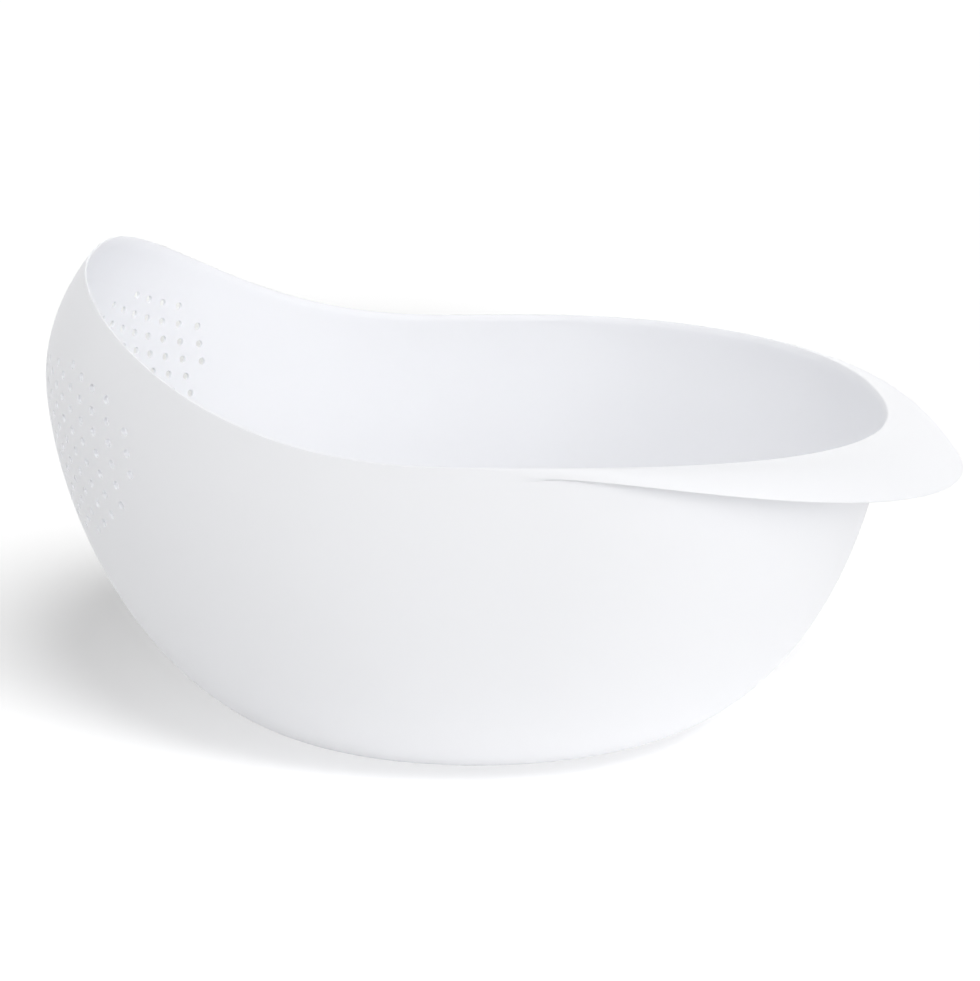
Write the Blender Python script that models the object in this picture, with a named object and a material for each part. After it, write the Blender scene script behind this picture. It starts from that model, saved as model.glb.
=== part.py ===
"""Strainer bowl: one moulded shell with a perforated, upswept end and a turned-down lip, on a non-slip pad.

The long axis is X, with the perforated end at -X and the lip at +X. Z is up, and the floor is at z = 0.
"""

import bmesh
import bpy
import numpy as np
from mathutils import Matrix, Vector

# Driving dimensions in metres. The bowl is drawn from the centre of its flat base.
BASE_LENGTH = 0.1278
BASE_WIDTH = 0.103
STRAINER_REACH = 0.1551          # base centre to the fullest point of the perforated end
HANDLE_REACH = 0.1621            # base centre to where the handle end would stand upright
WIDTH = 0.263
WIDEST_X = 0.0264                # the widest station, ahead of the base centre
WALL = 0.0016

# Heights above the base
RIM_HEIGHT = 0.1319              # rim beside the widest station
STRAINER_FULL_HEIGHT = 0.137     # where the perforated end is fullest
STRAINER_CLOSING = 0.1059        # vertical half axis of the wall that closes in above it
HANDLE_UPRIGHT_HEIGHT = 0.1633
SIDE_UPRIGHT_HEIGHT = 0.1277

# Powers of the rounded curves: 2 is an ellipse, and a higher power is fuller
STRAINER_POWER = 1.76
HANDLE_POWER = 2.16
SIDE_POWER = 2.08
STRAINER_PLAN_POWER = 2.31
HANDLE_PLAN_POWER = 2.29
BASE_PLAN_POWER = 2.0

# The rim is level at the sides, sweeps up over the perforated end and falls a little towards the handle
SWEEP_START_X = 0.0051
SWEEP_RISE = 0.0708
SWEEP_POWER = 2.63
HANDLE_FALL = 0.0057
RIM_ROUND = 0.0026               # depth of the rounding on the inside of the rim
CREST_SHARE = 0.25               # share of the wall outside the crest of the rim
RIM_EDGE = 0.0004                # depth of the rounding on the outside of the rim

# The lip grows out of the rim and droops outwards
LIP_START_X = 0.0217
LIP_REACH = 0.0317               # its edge out from the wall beside it
LIP_DROP = 0.0206                # its edge below the rim
LIP_POWER = 1.5                  # how slowly it grows
LIP_START_DROP = 0.0031          # where its edge leaves the wall
LIP_BLEND_X = 0.01               # where the rim's outside edge starts to soften towards the lip
LIP_BLEND_LENGTH = 0.018
LIP_EDGE = 0.0014                # thickness at the edge
LIP_ROOT = 0.0006                # wall left between the edge and the root where it starts
LIP_SLOPE_SHARE = 0.15           # share of its drop that is an even slope, the rest steepening outwards
INNER_ROUND_SHARES = (0.25, 0.5)  # shares of the inside rounding's depth and width, partway down it

# Perforated field: a round-ended patch of staggered holes, square to an axis that tips down and out
HOLE_DIAMETER = 0.0029
HOLE_PITCH = 0.0075              # along a column
COLUMN_PITCH = 0.0062
FIELD_LENGTH = 0.192
FIELD_HEIGHT = 0.063
FIELD_CENTRE_HEIGHT = 0.1167
FIELD_TIP = np.radians(13.5)
PIN_OVERRUN = 0.0022             # how far the cutting pins pass the wall on each side

# Pad set into the base
PAD_MARGIN = 0.008               # base left around the pad
PAD_PROUD = 0.0004               # pad below the base
RECESS_DEPTH = 0.0007
CLEARANCE = 0.0003

# Facets
STATIONS = 56
LIP_TOP_SHARES = (1.0, 0.72, 0.45, 0.2, 0.0)     # from the lip's edge to the crest of the rim
LIP_UNDER_SHARES = (0.4, 0.72)                   # from the lip's root towards its edge
WALL_RINGS = 13
RING_CROWDING = 1.7              # rings lie closer together towards the base
HOLE_SIDES = 6
PAD_SIDES = 48
SETTLING = 40                    # rounds in which a height settles onto the wall
SHARP_ANGLE = np.radians(35)     # edges bent more than this stay sharp

# Materials
MOULDING_COLOUR = (0.909, 0.916, 0.943)
MOULDING_ROUGHNESS = 0.45
PAD_COLOUR = (0.62, 0.63, 0.64)
PAD_ROUGHNESS = 0.8

OBJECT_NAME = "strainer_bowl"


def rounded(share, power):
    """Height of a quarter superellipse, from 0 at its foot to 1 where it stands upright."""
    fall = 1 - np.clip(share, 0, 1)
    return (1 - fall**power) ** (1 / power)


def signed_power(value, power):
    return np.sign(value) * np.abs(value) ** power


def wall_point(angle, height):
    """Point of the outer wall at an angle round the bowl and a height above the base."""
    grown = rounded(height / HANDLE_UPRIGHT_HEIGHT, 2)
    middle = WIDEST_X * grown
    base_end = BASE_LENGTH / 2
    full = base_end + (STRAINER_REACH - base_end) * rounded(height / STRAINER_FULL_HEIGHT, STRAINER_POWER)
    above = np.clip((height - STRAINER_FULL_HEIGHT) / STRAINER_CLOSING, 0, 0.99)
    closing = (STRAINER_REACH + WIDEST_X) * np.sqrt(1 - above**2) - WIDEST_X
    strainer_end = np.where(height < STRAINER_FULL_HEIGHT, full, closing)
    handle_end = base_end + (HANDLE_REACH - base_end) * rounded(height / HANDLE_UPRIGHT_HEIGHT, HANDLE_POWER)
    side = BASE_WIDTH / 2 + (WIDTH - BASE_WIDTH) / 2 * rounded(height / SIDE_UPRIGHT_HEIGHT, SIDE_POWER)
    along, across = np.cos(angle), np.sin(angle)
    end_power = np.where(along < 0, STRAINER_PLAN_POWER, HANDLE_PLAN_POWER)
    plan = BASE_PLAN_POWER + (end_power - BASE_PLAN_POWER) * grown
    reach = np.where(along < 0, strainer_end + middle, handle_end - middle)
    x = middle + reach * signed_power(along, 2 / plan)
    y = side * signed_power(across, 2 / plan)
    return np.stack([x, y, height + 0 * x], -1)


def wall_normal(angle, height):
    """Outward unit normal of the outer wall."""
    turn, rise = 1e-4, 1e-6
    around = wall_point(angle + turn, height) - wall_point(angle - turn, height)
    upwards = wall_point(angle, height + rise) - wall_point(angle, np.maximum(height - rise, 0))
    normal = np.cross(around, upwards)
    return normal / np.linalg.norm(normal, axis=-1, keepdims=True)


def sweep_height(x):
    """Height of the rim in the side view."""
    back = np.clip((SWEEP_START_X - x) / (SWEEP_START_X + STRAINER_REACH), 0, None)
    ahead = np.clip((x - WIDEST_X) / (HANDLE_REACH - WIDEST_X), 0, None)
    return RIM_HEIGHT + SWEEP_RISE * back**SWEEP_POWER - HANDLE_FALL * ahead**2


def rim_height(angle):
    """Where the wall meets the side view's sweep."""
    height = np.full_like(angle, RIM_HEIGHT)
    for _ in range(SETTLING):
        height = (height + sweep_height(wall_point(angle, height)[..., 0])) / 2
    return height


class Rim:
    """The rim and the lip that grows from it, at each angle."""

    def __init__(self, angle):
        self.angle = angle
        self.height = rim_height(angle)
        self.normal = wall_normal(angle, self.height)
        self.out = self.normal * (1, 1, 0)
        self.out = self.out / np.linalg.norm(self.out, axis=-1, keepdims=True)
        plan_x = WIDEST_X + (HANDLE_REACH - WIDEST_X) * signed_power(np.cos(angle), 2 / HANDLE_PLAN_POWER)
        grown = np.clip((plan_x - LIP_START_X) / (HANDLE_REACH - LIP_START_X), 0, 1) ** LIP_POWER
        soft = np.clip((plan_x - LIP_BLEND_X) / LIP_BLEND_LENGTH, 0, 1)
        start = RIM_EDGE + (LIP_START_DROP - RIM_EDGE) * soft**2 * (3 - 2 * soft)
        self.reach = LIP_REACH * grown
        self.drop = start + (LIP_DROP - LIP_START_DROP) * grown
        self.free = self.reach / (self.reach + WALL)

    def wall(self, depth):
        """Outer wall below the rim."""
        return wall_point(self.angle, self.height - depth)

    def top(self, share):
        """Top of the lip, from the crest of the rim at 0 to the edge at 1."""
        depth = self.drop * (LIP_SLOPE_SHARE * share + (1 - LIP_SLOPE_SHARE) * share**2)
        inset = WALL * CREST_SHARE * (1 - share) ** 2
        return self.wall(depth) - self.normal * inset + self.out * (self.reach * share)[:, None]

    def slope(self, share):
        """Unit vector through the lip's thickness, down and in from its top."""
        fall = self.drop * (LIP_SLOPE_SHARE + 2 * (1 - LIP_SLOPE_SHARE) * share)
        length = np.hypot(fall, self.reach)
        down = np.array([0, 0, 1.0]) * (self.reach / length)[:, None]
        return -self.out * (fall / length)[:, None] - down

    def under(self, share, thickness, depth):
        """Underside of the lip. Where the lip hasn't left the wall yet, it lies on the wall at the depth."""
        hanging = self.top(share) + self.slope(share) * thickness
        free = self.free[:, None]
        return self.wall(depth) * (1 - free) + hanging * free

    def rings(self):
        """From the lip's root, out along its underside, back along its top and over the rim."""
        edge_depth = LIP_START_DROP + LIP_EDGE
        root_depth = edge_depth + LIP_ROOT
        yield self.wall(root_depth)
        for share in LIP_UNDER_SHARES:
            yield self.under(share, WALL, root_depth - LIP_ROOT * share)
        yield self.under(1.0, LIP_EDGE, edge_depth)
        for share in LIP_TOP_SHARES:
            yield self.top(share)
        depth, across = INNER_ROUND_SHARES
        inset = WALL * (CREST_SHARE + (1 - CREST_SHARE) * across)
        yield self.wall(RIM_ROUND * depth) - self.normal * inset

    def root_height(self):
        return self.height - LIP_START_DROP - LIP_EDGE - LIP_ROOT


def bowl_rings():
    """Closed rings from the edge of the base up the outside, over the rim and down the inside."""
    angle = np.arange(STATIONS) * 2 * np.pi / STATIONS
    rim = Rim(angle)
    climb = np.linspace(0, 1, WALL_RINGS + 1) ** RING_CROWDING
    for share in climb[:-1]:
        yield wall_point(angle, rim.root_height() * share)
    yield from rim.rings()
    inner_top = rim.height - RIM_ROUND
    for share in climb[:0:-1]:
        height = inner_top * share
        yield wall_point(angle, height) - wall_normal(angle, height) * WALL
    yield wall_point(angle, np.zeros(STATIONS)) + (0, 0, WALL)


def lofted(name, rings):
    """Closed mesh through rings of points, with a flat face on the first ring and on the last."""
    shape = bmesh.new()
    loops = [[shape.verts.new(point) for point in ring] for ring in rings]
    for low, high in zip(loops, loops[1:]):
        for i in range(len(low)):
            j = (i + 1) % len(low)
            shape.faces.new((low[i], low[j], high[j], high[i]))
    shape.faces.new(loops[0])
    shape.faces.new(loops[-1])
    bmesh.ops.recalc_face_normals(shape, faces=shape.faces)
    return finished(name, shape)


def finished(name, shape):
    mesh = bpy.data.meshes.new(name)
    shape.to_mesh(mesh)
    shape.free()
    return bpy.data.objects.new(name, mesh)


def elliptical_disc(name, length, width, low, high):
    shape = bmesh.new()
    size = Matrix.Diagonal((length, width, high - low, 1))
    place = Matrix.Translation((0, 0, (low + high) / 2))
    bmesh.ops.create_cone(
        shape, cap_ends=True, segments=PAD_SIDES, radius1=0.5, radius2=0.5, depth=1, matrix=place @ size
    )
    return finished(name, shape)


def field_places():
    """Offsets of the holes across and up the field, staggered by half a pitch in every other column."""
    round_end = FIELD_HEIGHT / 2
    columns = int(FIELD_LENGTH / 2 / COLUMN_PITCH)
    rows = int(FIELD_HEIGHT / 2 / HOLE_PITCH) + 1
    for column in range(-columns, columns + 1):
        across = column * COLUMN_PITCH
        past = max(abs(across) - (FIELD_LENGTH / 2 - round_end), 0)
        if past >= round_end:
            continue
        half_height = (round_end**2 - past**2) ** 0.5
        stagger = 0 if column % 2 else HOLE_PITCH / 2
        for row in range(-rows, rows + 1):
            up = row * HOLE_PITCH + stagger
            if abs(up) <= half_height:
                yield across, up


def hole_place(across, up):
    """Angle and height on the wall of a hole, carried from the field along its tipped axis."""
    height = FIELD_CENTRE_HEIGHT + up
    for _ in range(SETTLING):
        side = wall_point(np.pi / 2, height)[1]
        grown = rounded(height / HANDLE_UPRIGHT_HEIGHT, 2)
        plan = BASE_PLAN_POWER + (STRAINER_PLAN_POWER - BASE_PLAN_POWER) * grown
        angle = np.pi - np.sign(across) * np.arcsin(min(abs(across) / side, 1) ** (plan / 2))
        ahead = wall_point(angle, height)[0] + STRAINER_REACH
        height = FIELD_CENTRE_HEIGHT + (up + ahead * np.sin(FIELD_TIP)) / np.cos(FIELD_TIP)
    return angle, height


def hole_cutter():
    """Pins through the wall, square to it."""
    shape = bmesh.new()
    for across, up in field_places():
        angle, height = hole_place(across, up)
        outward = Vector(wall_normal(np.array(angle), np.array(height)))
        middle = Vector(wall_point(angle, height)) - outward * WALL / 2
        turn = outward.to_track_quat("Z", "Y").to_matrix().to_4x4()
        bmesh.ops.create_cone(
            shape,
            cap_ends=True,
            segments=HOLE_SIDES,
            radius1=HOLE_DIAMETER / 2,
            radius2=HOLE_DIAMETER / 2,
            depth=WALL + 2 * PIN_OVERRUN,
            matrix=Matrix.Translation(middle) @ turn,
        )
    return finished("hole_pins", shape)


def material(name, colour, roughness):
    made = bpy.data.materials.new(name)
    made.use_nodes = True
    shader = made.node_tree.nodes["Principled BSDF"]
    shader.inputs["Base Color"].default_value = (*colour, 1)
    shader.inputs["Roughness"].default_value = roughness
    shader.inputs["Metallic"].default_value = 0
    return made


def smoothed(obj):
    obj.data.shade_smooth()
    obj.data.set_sharp_from_angle(angle=SHARP_ANGLE)


def cut(obj, cutter):
    modifier = obj.modifiers.new(cutter.name, "BOOLEAN")
    modifier.operation = "DIFFERENCE"
    modifier.solver = "EXACT"
    modifier.object = cutter


def bowl_and_cutters():
    bowl = lofted("bowl", bowl_rings())
    bowl.data.materials.append(material("white_moulding", MOULDING_COLOUR, MOULDING_ROUGHNESS))
    smoothed(bowl)
    pad_length, pad_width = pad_size()
    recess = elliptical_disc(
        "pad_recess", pad_length + 2 * CLEARANCE, pad_width + 2 * CLEARANCE, -RECESS_DEPTH, RECESS_DEPTH
    )
    pins = hole_cutter()
    cut(bowl, recess)
    cut(bowl, pins)
    return bowl, [recess, pins]


def pad_size():
    return BASE_LENGTH - 2 * PAD_MARGIN, BASE_WIDTH - 2 * PAD_MARGIN


def base_pad():
    length, width = pad_size()
    pad = elliptical_disc("base_pad", length, width, -PAD_PROUD, RECESS_DEPTH - CLEARANCE)
    pad.data.materials.append(material("soft_pad", PAD_COLOUR, PAD_ROUGHNESS))
    smoothed(pad)
    return pad


def collection(name):
    made = bpy.data.collections.new(name)
    bpy.context.scene.collection.children.link(made)
    return made


def main():
    for obj in list(bpy.data.objects):
        bpy.data.objects.remove(obj)
    parts = collection(OBJECT_NAME)
    cutters = collection("cutters")
    bowl, tools = bowl_and_cutters()
    pieces = [bowl, base_pad()]
    lip_tip = Rim(np.zeros(1)).top(1.0)[0, 0]
    frame = bpy.data.objects.new("base_centre", None)
    frame.location = ((STRAINER_REACH - lip_tip) / 2, 0, PAD_PROUD)
    parts.objects.link(frame)
    for piece in pieces:
        parts.objects.link(piece)
        piece.parent = frame
    for tool in tools:
        cutters.objects.link(tool)
        tool.parent = frame
        tool.hide_render = True
        tool.display_type = "WIRE"


main()
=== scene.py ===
"""Looks of the strainer bowl: a fine skin over its moulding and its pad, with materials, light and camera."""

import math

import bmesh
import bpy
import numpy as np
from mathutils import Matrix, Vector
from mathutils.geometry import delaunay_2d_cdt


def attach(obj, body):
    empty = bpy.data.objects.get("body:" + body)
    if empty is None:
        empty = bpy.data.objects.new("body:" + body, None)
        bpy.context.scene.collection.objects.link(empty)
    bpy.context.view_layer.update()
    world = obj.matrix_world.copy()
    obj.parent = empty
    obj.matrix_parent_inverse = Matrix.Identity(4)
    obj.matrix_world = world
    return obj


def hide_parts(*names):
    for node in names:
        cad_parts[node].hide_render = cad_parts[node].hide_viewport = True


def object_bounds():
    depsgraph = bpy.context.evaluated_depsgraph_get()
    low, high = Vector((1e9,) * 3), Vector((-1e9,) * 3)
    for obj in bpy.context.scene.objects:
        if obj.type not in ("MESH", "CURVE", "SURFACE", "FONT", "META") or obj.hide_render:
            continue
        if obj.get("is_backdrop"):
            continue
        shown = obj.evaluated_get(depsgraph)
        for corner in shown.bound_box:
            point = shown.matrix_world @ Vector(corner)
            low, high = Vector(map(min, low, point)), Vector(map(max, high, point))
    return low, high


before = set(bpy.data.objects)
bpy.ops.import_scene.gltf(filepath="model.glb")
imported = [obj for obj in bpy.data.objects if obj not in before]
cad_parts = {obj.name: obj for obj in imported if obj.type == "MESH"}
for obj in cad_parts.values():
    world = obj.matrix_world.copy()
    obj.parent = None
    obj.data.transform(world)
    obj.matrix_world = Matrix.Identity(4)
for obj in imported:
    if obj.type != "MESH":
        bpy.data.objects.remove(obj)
CAD_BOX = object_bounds()

# Sizes of the moulding in metres, from the centre of its flat base
BASE_LENGTH = 0.1278
BASE_WIDTH = 0.103
STRAINER_REACH = 0.1551
HANDLE_REACH = 0.1621
WIDTH = 0.263
WIDEST_X = 0.0264
WALL = 0.0016
RIM_HEIGHT = 0.1319
STRAINER_FULL_HEIGHT = 0.137
STRAINER_CLOSING = 0.1059
CLOSING_LIMIT = 0.99             # the closing wall stops short of its own top
HANDLE_UPRIGHT_HEIGHT = 0.1633
SIDE_UPRIGHT_HEIGHT = 0.1277
STRAINER_POWER = 1.76
HANDLE_POWER = 2.16
SIDE_POWER = 2.08
STRAINER_PLAN_POWER = 2.31
HANDLE_PLAN_POWER = 2.29
BASE_PLAN_POWER = 2.0
SWEEP_START_X = 0.0051
SWEEP_RISE = 0.0708
SWEEP_POWER = 2.63
HANDLE_FALL = 0.0057
RIM_ROUND = 0.0026
CREST_SHARE = 0.25
RIM_EDGE = 0.0004
LIP_START_X = 0.0217
LIP_REACH = 0.0317
LIP_DROP = 0.0206
LIP_POWER = 1.5
LIP_START_DROP = 0.0031
LIP_BLEND_X = 0.01
LIP_BLEND_LENGTH = 0.018
LIP_EDGE = 0.0014
LIP_ROOT = 0.0006
LIP_SLOPE_SHARE = 0.15
HOLE_DIAMETER = 0.0029
HOLE_PITCH = 0.0075
COLUMN_PITCH = 0.0062
FIELD_LENGTH = 0.192
FIELD_HEIGHT = 0.063
FIELD_CENTRE_HEIGHT = 0.1167
FIELD_TIP = np.radians(13.5)
PAD_MARGIN = 0.008
PAD_PROUD = 0.0004
RECESS_DEPTH = 0.0007
CLEARANCE = 0.0003

# Fineness of the skin
STATIONS = 360
WALL_RINGS = 72
RING_CROWDING = 1.5              # rings lie closer together towards the base
LIP_UNDER_RINGS = 12
LIP_EDGE_RINGS = 8
LIP_TOP_RINGS = 25
RIM_RINGS = 8
INNER_RIM_RINGS = 3              # between the rim's rounding and the inner wall beside the lip's root
LIP_ROOT_SHARE = 0.2             # first ring of the lip's underside
LIP_TAPER_SHARE = 0.72           # where the lip starts to thin towards its edge
LIP_AIM_SHARE = 0.95             # the rounded edge points from here to the edge
LIP_EDGE_SHARE = 0.96            # where the rounded edge takes over
HOLE_SIDES = 24
HOLE_ROUND = 0.00015
HOLE_CLEARANCE = 0.0015          # wall points stay this far from a hole
PAD_ROUND = 0.0003
PAD_ROUND_RINGS = 5
MERGE_DISTANCE = 1e-9
SETTLING = 40                    # rounds in which a height settles onto the wall
CIRCLE_SETTLING = 4
SHARP_ANGLE = math.radians(38)

# Camera, as fitted to the photograph, from the centre of the base
CAMERA_TARGET = (0.01071, 0, 0.08792)
CAMERA_DISTANCE = 0.8389
CAMERA_ELEVATION = 15.55
CAMERA_LENS = 79.61
CAMERA_SENSOR = 36

# Soft studio lamps: degrees round from the camera to the right, elevation, spread, strength, what they light
LAMPS = (
    ("key", 45, 30, 50, 0.6, "object"),
    ("key_low", 45, 8, 50, 0.96, "object"),
    ("front", 0, 30, 50, 0.94, "object"),
    ("left", -90, 30, 50, 0.71, "object"),
    ("left_high", -90, 55, 50, 0.54, "object"),
    ("right", 90, 55, 50, 0.49, "object"),
    ("right_back", 135, 8, 50, 0.39, "object"),
    ("back", 180, 30, 50, 0.75, "object"),
    ("floor_key", 30, 50, 30, 2.4, "floor"),
    ("floor_front", 9, 11.5, 6, 5.0, "floor"),
)
FLOOR_LIFT = 0.2                        # what it adds for the camera
FLOOR_SEEN = (0.92, 0.92, 0.92, 1)      # as the camera sees it
FLOOR_BOUNCE = (0.66, 0.66, 0.66, 1)    # as it throws light back
FLOOR_HALF_WIDTH = 12


def rounded(share, power):
    """Height of a quarter superellipse, from 0 at its foot to 1 where it stands upright."""
    fall = 1 - np.clip(share, 0, 1)
    return (1 - fall**power) ** (1 / power)


def signed_power(value, power):
    return np.sign(value) * np.abs(value) ** power


def wall_point(angle, height):
    """Point of the outer wall at an angle round the bowl and a height above the base."""
    grown = rounded(height / HANDLE_UPRIGHT_HEIGHT, 2)
    middle = WIDEST_X * grown
    base_end = BASE_LENGTH / 2
    full = base_end + (STRAINER_REACH - base_end) * rounded(height / STRAINER_FULL_HEIGHT, STRAINER_POWER)
    above = np.clip((height - STRAINER_FULL_HEIGHT) / STRAINER_CLOSING, 0, CLOSING_LIMIT)
    closing = (STRAINER_REACH + WIDEST_X) * np.sqrt(1 - above**2) - WIDEST_X
    strainer_end = np.where(height < STRAINER_FULL_HEIGHT, full, closing)
    handle_end = base_end + (HANDLE_REACH - base_end) * rounded(height / HANDLE_UPRIGHT_HEIGHT, HANDLE_POWER)
    side = BASE_WIDTH / 2 + (WIDTH - BASE_WIDTH) / 2 * rounded(height / SIDE_UPRIGHT_HEIGHT, SIDE_POWER)
    along, across = np.cos(angle), np.sin(angle)
    end_power = np.where(along < 0, STRAINER_PLAN_POWER, HANDLE_PLAN_POWER)
    plan = BASE_PLAN_POWER + (end_power - BASE_PLAN_POWER) * grown
    reach = np.where(along < 0, strainer_end + middle, handle_end - middle)
    x = middle + reach * signed_power(along, 2 / plan)
    y = side * signed_power(across, 2 / plan)
    return np.stack([x, y, height + 0 * x], -1)


def wall_slopes(angle, height):
    """How the outer wall runs round the bowl and upwards."""
    turn, rise = 1e-4, 1e-6
    around = (wall_point(angle + turn, height) - wall_point(angle - turn, height)) / (2 * turn)
    low = np.maximum(height - rise, 0)
    upwards = wall_point(angle, height + rise) - wall_point(angle, low)
    return around, upwards / (height + rise - low)[..., None]


def unit(vectors):
    return vectors / np.linalg.norm(vectors, axis=-1, keepdims=True)


def wall_normal(angle, height):
    return unit(np.cross(*wall_slopes(angle, height)))


def sweep_height(x):
    """Height of the rim in the side view."""
    back = np.clip((SWEEP_START_X - x) / (SWEEP_START_X + STRAINER_REACH), 0, None)
    ahead = np.clip((x - WIDEST_X) / (HANDLE_REACH - WIDEST_X), 0, None)
    return RIM_HEIGHT + SWEEP_RISE * back**SWEEP_POWER - HANDLE_FALL * ahead**2


def rim_height(angle):
    """Where the wall meets the side view's sweep."""
    height = np.full_like(angle, RIM_HEIGHT)
    for _ in range(SETTLING):
        height = (height + sweep_height(wall_point(angle, height)[..., 0])) / 2
    return height


class Rim:
    """The rim and the lip that grows from it, at each angle."""

    def __init__(self, angle):
        self.angle = angle
        self.height = rim_height(angle)
        self.normal = wall_normal(angle, self.height)
        self.out = unit(self.normal * (1, 1, 0))
        plan_x = WIDEST_X + (HANDLE_REACH - WIDEST_X) * signed_power(np.cos(angle), 2 / HANDLE_PLAN_POWER)
        grown = np.clip((plan_x - LIP_START_X) / (HANDLE_REACH - LIP_START_X), 0, 1) ** LIP_POWER
        soft = np.clip((plan_x - LIP_BLEND_X) / LIP_BLEND_LENGTH, 0, 1)
        start = RIM_EDGE + (LIP_START_DROP - RIM_EDGE) * soft**2 * (3 - 2 * soft)
        self.reach = LIP_REACH * grown
        self.drop = start + (LIP_DROP - LIP_START_DROP) * grown
        self.free = (self.reach / (self.reach + WALL))[:, None]

    def wall(self, depth):
        """Outer wall below the rim."""
        return wall_point(self.angle, self.height - depth)

    def top(self, share):
        """Top of the lip, from the crest of the rim at 0 to the edge at 1."""
        depth = self.drop * (LIP_SLOPE_SHARE * share + (1 - LIP_SLOPE_SHARE) * share**2)
        inset = WALL * CREST_SHARE * (1 - share) ** 2
        return self.wall(depth) - self.normal * inset + self.out * (self.reach * share)[:, None]

    def through(self, share):
        """Unit vector through the lip's thickness, down and in from its top."""
        fall = self.drop * (LIP_SLOPE_SHARE + 2 * (1 - LIP_SLOPE_SHARE) * share)
        length = np.hypot(fall, self.reach)
        down = np.array([0, 0, 1.0]) * (self.reach / length)[:, None]
        return -self.out * (fall / length)[:, None] - down

    def under(self, share, thickness, depth):
        """Underside of the lip. Where the lip hasn't left the wall yet, it lies on the wall at the depth."""
        hanging = self.top(share) + self.through(share) * thickness
        return self.wall(depth) * (1 - self.free) + hanging * self.free

    def rings(self):
        """From the lip's root, out along its underside, round its edge, back over its top and the rim."""
        edge_depth = LIP_START_DROP + LIP_EDGE
        root_depth = edge_depth + LIP_ROOT
        for share in np.linspace(LIP_ROOT_SHARE, LIP_EDGE_SHARE, LIP_UNDER_RINGS):
            taper = max(share - LIP_TAPER_SHARE, 0) / (1 - LIP_TAPER_SHARE)
            yield self.under(share, WALL + (LIP_EDGE - WALL) * taper, root_depth - LIP_ROOT * share)
        low, high = self.under(1.0, LIP_EDGE, edge_depth), self.top(1.0)
        outward = unit(high - self.top(LIP_AIM_SHARE))
        for turn in np.linspace(0, np.pi, LIP_EDGE_RINGS):
            middle = (low + high) / 2 + (low - high) / 2 * np.cos(turn)
            yield middle + outward * self.free * (LIP_EDGE / 2 * (np.sin(turn) - 1))
        for share in np.linspace(LIP_EDGE_SHARE, 0, LIP_TOP_RINGS):
            yield self.top(share)
        for across in np.linspace(0, 1, RIM_RINGS + 1)[1:]:
            inset = WALL * (CREST_SHARE + (1 - CREST_SHARE) * across)
            yield self.wall(RIM_ROUND * across**2) - self.normal * inset

    def root_height(self):
        return self.height - LIP_START_DROP - LIP_EDGE - LIP_ROOT


def field_places():
    """Offsets of the holes across and up the field, staggered by half a pitch in every other column."""
    round_end = FIELD_HEIGHT / 2
    columns = int(FIELD_LENGTH / 2 / COLUMN_PITCH)
    rows = int(FIELD_HEIGHT / 2 / HOLE_PITCH) + 1
    for column in range(-columns, columns + 1):
        across = column * COLUMN_PITCH
        past = max(abs(across) - (FIELD_LENGTH / 2 - round_end), 0)
        if past >= round_end:
            continue
        half_height = (round_end**2 - past**2) ** 0.5
        stagger = 0 if column % 2 else HOLE_PITCH / 2
        for row in range(-rows, rows + 1):
            up = row * HOLE_PITCH + stagger
            if abs(up) <= half_height:
                yield across, up


def hole_places():
    """Angles and heights on the wall of the holes, carried from the field along its tipped axis."""
    across, up = np.array(list(field_places())).T
    height = FIELD_CENTRE_HEIGHT + up
    for _ in range(SETTLING):
        side = wall_point(np.full_like(height, np.pi / 2), height)[:, 1]
        grown = rounded(height / HANDLE_UPRIGHT_HEIGHT, 2)
        plan = BASE_PLAN_POWER + (STRAINER_PLAN_POWER - BASE_PLAN_POWER) * grown
        angle = np.pi - np.sign(across) * np.arcsin(np.minimum(np.abs(across) / side, 1) ** (plan / 2))
        ahead = wall_point(angle, height)[:, 0] + STRAINER_REACH
        height = FIELD_CENTRE_HEIGHT + (up + ahead * np.sin(FIELD_TIP)) / np.cos(FIELD_TIP)
    return angle, height


def circles(angle, height, radius):
    """Angles and heights of round outlines on the wall, one row for each hole."""
    turn = np.arange(HOLE_SIDES) * 2 * np.pi / HOLE_SIDES
    around, upwards = wall_slopes(angle, height)
    first = unit(around)
    second = np.cross(unit(np.cross(around, upwards)), first)
    centre = wall_point(angle, height)
    wanted = radius * (first[:, None] * np.cos(turn)[:, None] + second[:, None] * np.sin(turn)[:, None])
    basis = np.stack([first, second], 1)
    slopes = np.einsum("hik,hjk->hij", basis, np.stack([around, upwards], 1))
    back = np.linalg.inv(slopes)
    a = np.repeat(angle[:, None], HOLE_SIDES, 1)
    z = np.repeat(height[:, None], HOLE_SIDES, 1)
    for _ in range(CIRCLE_SETTLING):
        short = centre[:, None] + wanted - wall_point(a, z)
        step = np.einsum("hij,hjk,hsk->hsi", back, basis, short)
        a, z = a + step[..., 0], z + step[..., 1]
    return a, z


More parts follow.
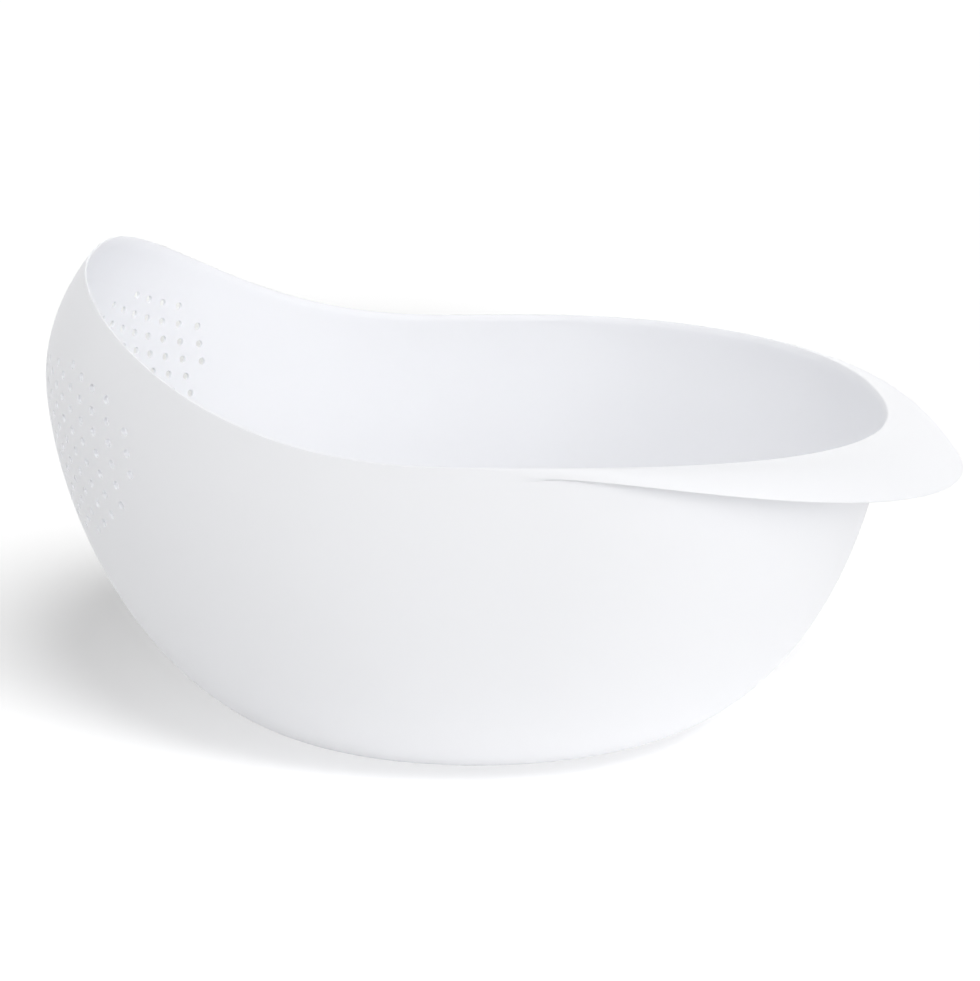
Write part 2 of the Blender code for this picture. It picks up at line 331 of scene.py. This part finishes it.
class Skin:
    """Points and faces of a mesh as they are laid, with the points' normals where they are known."""

    def __init__(self):
        self.points, self.normals, self.faces, self.known = [], [], [], []
        self.count = 0

    def lay(self, points, normals=None):
        """Adds points and returns their numbers in the same layout."""
        points = np.asarray(points)
        numbers = self.count + np.arange(points[..., 0].size).reshape(points.shape[:-1])
        self.count += numbers.size
        self.points.append(points.reshape(-1, 3))
        self.normals.append(np.zeros((numbers.size, 3)) if normals is None else normals.reshape(-1, 3))
        return numbers

    def face(self, *corners, known=False):
        self.faces.append([int(c) for c in corners])
        self.known.append(known)

    def bridge(self, low, high, known=False, skip=()):
        """Quads between two closed rings."""
        for i in range(len(low)):
            if i in skip:
                continue
            j = (i + 1) % len(low)
            self.face(low[i], low[j], high[j], high[i], known=known)

    def mesh(self, name, place):
        mesh = bpy.data.meshes.new(name)
        mesh.from_pydata((np.concatenate(self.points) + place).tolist(), [], self.faces)
        mesh.shade_smooth()
        mesh.set_sharp_from_angle(angle=SHARP_ANGLE)
        normals = np.concatenate(self.normals)
        corners = []
        for face, known in zip(self.faces, self.known):
            corners += [normals[c] if known else (0, 0, 0) for c in face]
        mesh.normals_split_custom_set(corners)
        obj = bpy.data.objects.new(name, mesh)
        bpy.context.scene.collection.objects.link(obj)
        return obj


class Sheet:
    """The perforated wall laid flat, with the numbers of its points on the outside and inside of the skin."""

    def __init__(self):
        self.points, self.outside, self.inside, self.holes, self.edges = [], [], [], [], []

    def put(self, angle, height, outside, inside, hole=None):
        self.points.append(Vector((angle * WIDTH / 2, height)))
        self.outside.append(outside)
        self.inside.append(inside)
        self.holes.append(hole)
        return len(self.points) - 1

    def close(self, ring):
        """Keeps a ring of points as edges."""
        self.edges += zip(ring, ring[1:] + ring[:1])

    def triangles(self):
        """Corners and middles of the triangles between the points, without those that fill a hole."""
        _, _, faces, sources, _, _ = delaunay_2d_cdt(self.points, self.edges, [], 0, MERGE_DISTANCE, True)
        for face in faces:
            corners = [sources[v][0] for v in face]
            holes = {self.holes[c] for c in corners}
            if len(holes) > 1 or None in holes:
                yield corners, sum((self.points[c] for c in corners), Vector((0, 0))) / 3


def patch_bounds(hole_angle, hole_height, heights):
    """First and last station, and lowest and highest ring, of the part of the wall that holds the holes."""
    margin = HOLE_PITCH / WIDTH * 2
    first = int((hole_angle.min() - margin) / (2 * np.pi) * STATIONS)
    last = int((hole_angle.max() + margin) / (2 * np.pi) * STATIONS) + 1
    strip = heights[:, first : last + 1]
    below = strip.max(1) < hole_height.min() - HOLE_PITCH
    above = strip.min(1) > hole_height.max() + HOLE_PITCH
    bottom = int(np.nonzero(below)[0].max())
    top = int(np.nonzero(above)[0].min()) if above.any() else WALL_RINGS
    return first, last, bottom, top


def bores(skin, hole_angle, hole_height):
    """Lays the insides of the holes. Returns their outlines on the wall and their numbers on both sides."""
    wide = circles(hole_angle, hole_height, HOLE_DIAMETER / 2 + HOLE_ROUND)
    tight = circles(hole_angle, hole_height, HOLE_DIAMETER / 2)
    wide_point, wide_normal = wall_point(*wide), wall_normal(*wide)
    tight_point, tight_normal = wall_point(*tight), wall_normal(*tight)
    rim_out = skin.lay(wide_point, wide_normal)
    bore_out = skin.lay(tight_point - tight_normal * HOLE_ROUND)
    bore_in = skin.lay(tight_point - tight_normal * (WALL - HOLE_ROUND))
    rim_in = skin.lay(wide_point - wide_normal * WALL, -wide_normal)
    for rings in zip(rim_out, bore_out, bore_in, rim_in):
        for low, high in zip(rings, rings[1:]):
            skin.bridge(low[::-1], high[::-1])
    return np.stack([*wide, rim_out, rim_in], -1)


def patch(skin, angle, heights, outer, inner):
    """Lays the perforated part of both walls. Returns the first and last station and ring that it fills."""
    hole_angle, hole_height = hole_places()
    first, last, bottom, top = patch_bounds(hole_angle, hole_height, heights)
    sheet = Sheet()
    border = [(bottom, i) for i in range(first, last + 1)]
    border += [(k, last) for k in range(bottom + 1, top + 1)]
    border += [(top, i) for i in range(last - 1, first - 1, -1)]
    border += [(k, first) for k in range(top - 1, bottom, -1)]
    sheet.close([sheet.put(angle[i], heights[k, i], outer[k, i], inner[k, i]) for k, i in border])
    centres = np.stack([hole_angle * WIDTH / 2, hole_height], -1)
    for k in range(bottom + 1, top):
        for i in range(first + 1, last):
            here = np.array([angle[i] * WIDTH / 2, heights[k, i]])
            if np.hypot(*(centres - here).T).min() > HOLE_DIAMETER / 2 + HOLE_CLEARANCE:
                sheet.put(angle[i], heights[k, i], outer[k, i], inner[k, i])
    for hole, outline in enumerate(bores(skin, hole_angle, hole_height)):
        sheet.close([sheet.put(a, z, int(out), int(inn), hole) for a, z, out, inn in outline])
    stations = angle[first : last + 1] * WIDTH / 2
    low_edge = heights[bottom, first : last + 1]
    high_edge = heights[top, first : last + 1]
    for corners, middle in sheet.triangles():
        low, high = np.interp(middle.x, stations, low_edge), np.interp(middle.x, stations, high_edge)
        if low < middle.y < high:
            skin.face(*[sheet.outside[c] for c in corners], known=True)
            skin.face(*[sheet.inside[c] for c in reversed(corners)], known=True)
    return first, last, bottom, top


def bowl_skin(place):
    """The whole moulding: recess and base, outer wall, lip, rim, inner wall and floor."""
    skin = Skin()
    angle = np.arange(STATIONS) * 2 * np.pi / STATIONS
    rim = Rim(angle)
    climb = np.linspace(0, 1, WALL_RINGS + 1) ** RING_CROWDING
    heights = climb[:, None] * rim.root_height()
    angles = np.broadcast_to(angle, heights.shape)
    wall = wall_point(angles, heights)
    normal = wall_normal(angles, heights)
    normal[0] = (0, 0, -1)
    outer = skin.lay(wall, normal)
    inner = skin.lay(wall - normal * WALL, -normal)
    first, last, bottom, top = patch(skin, angle, heights, outer, inner)
    filled = set(range(first, last))
    for k in range(WALL_RINGS):
        skip = filled if bottom <= k < top else ()
        skin.bridge(outer[k], outer[k + 1], known=True, skip=skip)
        skin.bridge(inner[k][::-1], inner[k + 1][::-1], known=True, skip={STATIONS - 2 - i for i in skip})
    lip = [outer[-1], *[skin.lay(ring) for ring in rim.rings()]]
    root_depth = rim.height[0] - rim.root_height()[0]
    for depth in np.linspace(RIM_ROUND, root_depth, INNER_RIM_RINGS + 1)[1:-1]:
        height = rim.height - depth
        lip.append(skin.lay(wall_point(angle, height) - wall_normal(angle, height) * WALL))
    lip.append(inner[-1])
    for low, high in zip(lip, lip[1:]):
        skin.bridge(low, high)
    mouth = pad_outline(angle, -CLEARANCE, 0)
    ring, roof = skin.lay(mouth), skin.lay(mouth + (0, 0, RECESS_DEPTH))
    skin.bridge(ring, outer[0])
    skin.bridge(roof, ring)
    skin.face(*roof[::-1])
    skin.face(*inner[0])
    return skin.mesh("bowl_moulding", place)


def pad_outline(angle, inset, height):
    length, width = BASE_LENGTH / 2 - PAD_MARGIN - inset, BASE_WIDTH / 2 - PAD_MARGIN - inset
    return np.stack([length * np.cos(angle), width * np.sin(angle), height + 0 * angle], -1)


def pad_skin(place):
    """The pad, with its edges rounded over."""
    skin = Skin()
    angle = np.arange(STATIONS) * 2 * np.pi / STATIONS
    low, high = -PAD_PROUD, RECESS_DEPTH - CLEARANCE
    turns = np.linspace(0, np.pi / 2, PAD_ROUND_RINGS)
    profile = [(PAD_ROUND * (1 - np.sin(t)), low + PAD_ROUND * (1 - np.cos(t))) for t in turns]
    profile += [(PAD_ROUND * (1 - np.cos(t)), high - PAD_ROUND * (1 - np.sin(t))) for t in turns]
    rings = [skin.lay(pad_outline(angle, inset, height)) for inset, height in profile]
    for lower, upper in zip(rings, rings[1:]):
        skin.bridge(lower, upper)
    skin.face(*rings[0][::-1])
    skin.face(*rings[-1])
    return skin.mesh("base_pad_soft", place)


class Value:
    """A shader socket that takes part in sums."""

    def __init__(self, graph, socket):
        self.graph = graph
        self.socket = socket

    def _math(self, operation, first, second):
        return self.graph.add("ShaderNodeMath", {"operation": operation}, {0: first, 1: second})["Value"]

    def __add__(self, other):
        return self._math("ADD", self, other)

    def __radd__(self, other):
        return self._math("ADD", other, self)

    def __mul__(self, other):
        return self._math("MULTIPLY", self, other)

    def __rmul__(self, other):
        return self._math("MULTIPLY", other, self)


class Graph:
    """Nodes of one material or world."""

    def __init__(self, tree):
        self.tree = tree
        tree.nodes.clear()

    def add(self, kind, settings=None, inputs=None):
        """Makes a node and returns its outputs by name."""
        node = self.tree.nodes.new(kind)
        for name, value in (settings or {}).items():
            setattr(node, name, value)
        for name, value in (inputs or {}).items():
            if isinstance(value, Value):
                self.tree.links.new(value.socket, node.inputs[name])
            else:
                node.inputs[name].default_value = value
        return {socket.name: Value(self, socket) for socket in node.outputs if socket.enabled}


def material(name):
    made = bpy.data.materials.new(name)
    made.use_nodes = True
    return made, Graph(made.node_tree)


def mix(graph, share, first, second):
    inputs = {"Factor": share, 6: (*first, 1), 7: (*second, 1)}
    return graph.add("ShaderNodeMix", {"data_type": "RGBA"}, inputs)["Result"]


def white_moulding():
    """Satin white plastic with the fine grain of a spark-finished mould."""
    made, graph = material("white_moulding")
    place = graph.add("ShaderNodeTexCoord")["Object"]
    grain = graph.add("ShaderNodeTexNoise", {}, {"Vector": place, "Scale": 2600.0, "Detail": 2.0})["Fac"]
    drift = graph.add("ShaderNodeTexNoise", {}, {"Vector": place, "Scale": 14.0, "Detail": 3.0})["Fac"]
    bump = graph.add("ShaderNodeBump", {}, {"Strength": 0.06, "Distance": 0.0001, "Height": grain})["Normal"]
    shader = graph.add(
        "ShaderNodeBsdfPrincipled",
        {},
        {
            "Base Color": mix(graph, drift, (0.904, 0.911, 0.944), (0.914, 0.921, 0.953)),
            "Roughness": 0.46 + drift * 0.06 + grain * 0.03,
            "IOR": 1.49,
            "Subsurface Weight": 0.4,
            "Subsurface Radius": (1.0, 1.0, 1.0),
            "Subsurface Scale": 0.003,
            "Normal": bump,
        },
    )["BSDF"]
    graph.add("ShaderNodeOutputMaterial", {}, {"Surface": shader})
    return made


def soft_pad():
    """Matte grey elastomer with a faint bloom."""
    made, graph = material("soft_pad")
    place = graph.add("ShaderNodeTexCoord")["Object"]
    grain = graph.add("ShaderNodeTexNoise", {}, {"Vector": place, "Scale": 1800.0, "Detail": 3.0})["Fac"]
    bloom = graph.add("ShaderNodeTexNoise", {}, {"Vector": place, "Scale": 40.0, "Detail": 4.0})["Fac"]
    bump = graph.add("ShaderNodeBump", {}, {"Strength": 0.2, "Distance": 0.0002, "Height": grain})["Normal"]
    shader = graph.add(
        "ShaderNodeBsdfPrincipled",
        {},
        {
            "Base Color": mix(graph, bloom, (0.58, 0.59, 0.6), (0.66, 0.665, 0.67)),
            "Roughness": 0.72 + bloom * 0.12,
            "IOR": 1.45,
            "Normal": bump,
        },
    )["BSDF"]
    graph.add("ShaderNodeOutputMaterial", {}, {"Surface": shader})
    return made


def floor():
    """Pale floor that keeps the bowl's shadow."""
    shape = bmesh.new()
    bmesh.ops.create_grid(shape, x_segments=1, y_segments=1, size=FLOOR_HALF_WIDTH)
    mesh = bpy.data.meshes.new("floor")
    shape.to_mesh(mesh)
    shape.free()
    obj = bpy.data.objects.new("floor", mesh)
    bpy.context.scene.collection.objects.link(obj)
    made, graph = material("pale_floor")
    seen = background_rays(graph)
    dull = graph.add("ShaderNodeBsdfDiffuse", {}, {"Color": FLOOR_BOUNCE})["BSDF"]
    pale = graph.add("ShaderNodeBsdfDiffuse", {}, {"Color": FLOOR_SEEN})["BSDF"]
    lit = graph.add("ShaderNodeMixShader", {}, {0: seen, 1: dull, 2: pale})["Shader"]
    lift = graph.add("ShaderNodeEmission", {}, {"Strength": seen * FLOOR_LIFT})["Emission"]
    both = graph.add("ShaderNodeAddShader", {}, {0: lit, 1: lift})["Shader"]
    graph.add("ShaderNodeOutputMaterial", {}, {"Surface": both})
    mesh.materials.append(made)
    obj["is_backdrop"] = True
    return obj


def lights(receivers):
    """Lamps for the bowl and for the floor, shaded by the bowl and its pad alone, and a white world."""
    for name, azimuth, elevation, spread, strength, lit in LAMPS:
        lamp = bpy.data.lights.new(name, "SUN")
        lamp.energy = strength
        lamp.angle = math.radians(spread)
        obj = bpy.data.objects.new(name, lamp)
        obj.rotation_euler = (math.radians(90 - elevation), 0, math.radians(azimuth))
        obj.light_linking.receiver_collection = receivers[lit]
        obj.light_linking.blocker_collection = receivers["object"]
        bpy.context.scene.collection.objects.link(obj)
    world = bpy.data.worlds.new("studio")
    world.use_nodes = True
    bpy.context.scene.world = world
    graph = Graph(world.node_tree)
    seen = background_rays(graph)
    white = graph.add("ShaderNodeBackground", {}, {"Color": (1, 1, 1, 1), "Strength": seen})["Background"]
    graph.add("ShaderNodeOutputWorld", {}, {"Surface": white})


def background_rays(graph):
    """1 for what the camera sees straight on, in a reflection or through glass."""
    rays = graph.add("ShaderNodeLightPath")
    return rays["Is Camera Ray"] + rays["Is Glossy Ray"] + rays["Is Transmission Ray"]


def camera(place):
    lens = bpy.data.cameras.new("camera")
    lens.lens = CAMERA_LENS
    lens.sensor_fit = "HORIZONTAL"
    lens.sensor_width = CAMERA_SENSOR
    obj = bpy.data.objects.new("camera", lens)
    tilt = math.radians(CAMERA_ELEVATION)
    back = Vector((0, -math.cos(tilt), math.sin(tilt)))
    obj.location = Vector(CAMERA_TARGET) + Vector(place) + back * CAMERA_DISTANCE
    obj.rotation_euler = (math.pi / 2 - tilt, 0, 0)
    bpy.context.scene.collection.objects.link(obj)
    bpy.context.scene.camera = obj


def main():
    # The part's origin lies under the middle of its length, where the pad stands on the floor
    lip_tip = Rim(np.zeros(1)).top(1.0)[0, 0]
    place = np.array([(STRAINER_REACH - lip_tip) / 2, 0, PAD_PROUD])
    camera(place)
    bowl = bowl_skin(place)
    bowl.data.materials.append(white_moulding())
    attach(bowl, "root")
    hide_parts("bowl")
    pad = pad_skin(place)
    pad.data.materials.append(soft_pad())
    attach(pad, "root")
    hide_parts("base_pad")
    receivers = {lit: bpy.data.collections.new(f"{lit}_lit") for lit in ("object", "floor")}
    receivers["floor"].objects.link(floor())
    receivers["object"].objects.link(bowl)
    receivers["object"].objects.link(pad)
    lights(receivers)
    bpy.context.scene.view_settings.view_transform = "Standard"


main()
boxes = {"cad": CAD_BOX, "visual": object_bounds()}
{name: [list(corner) for corner in box] for name, box in boxes.items()}
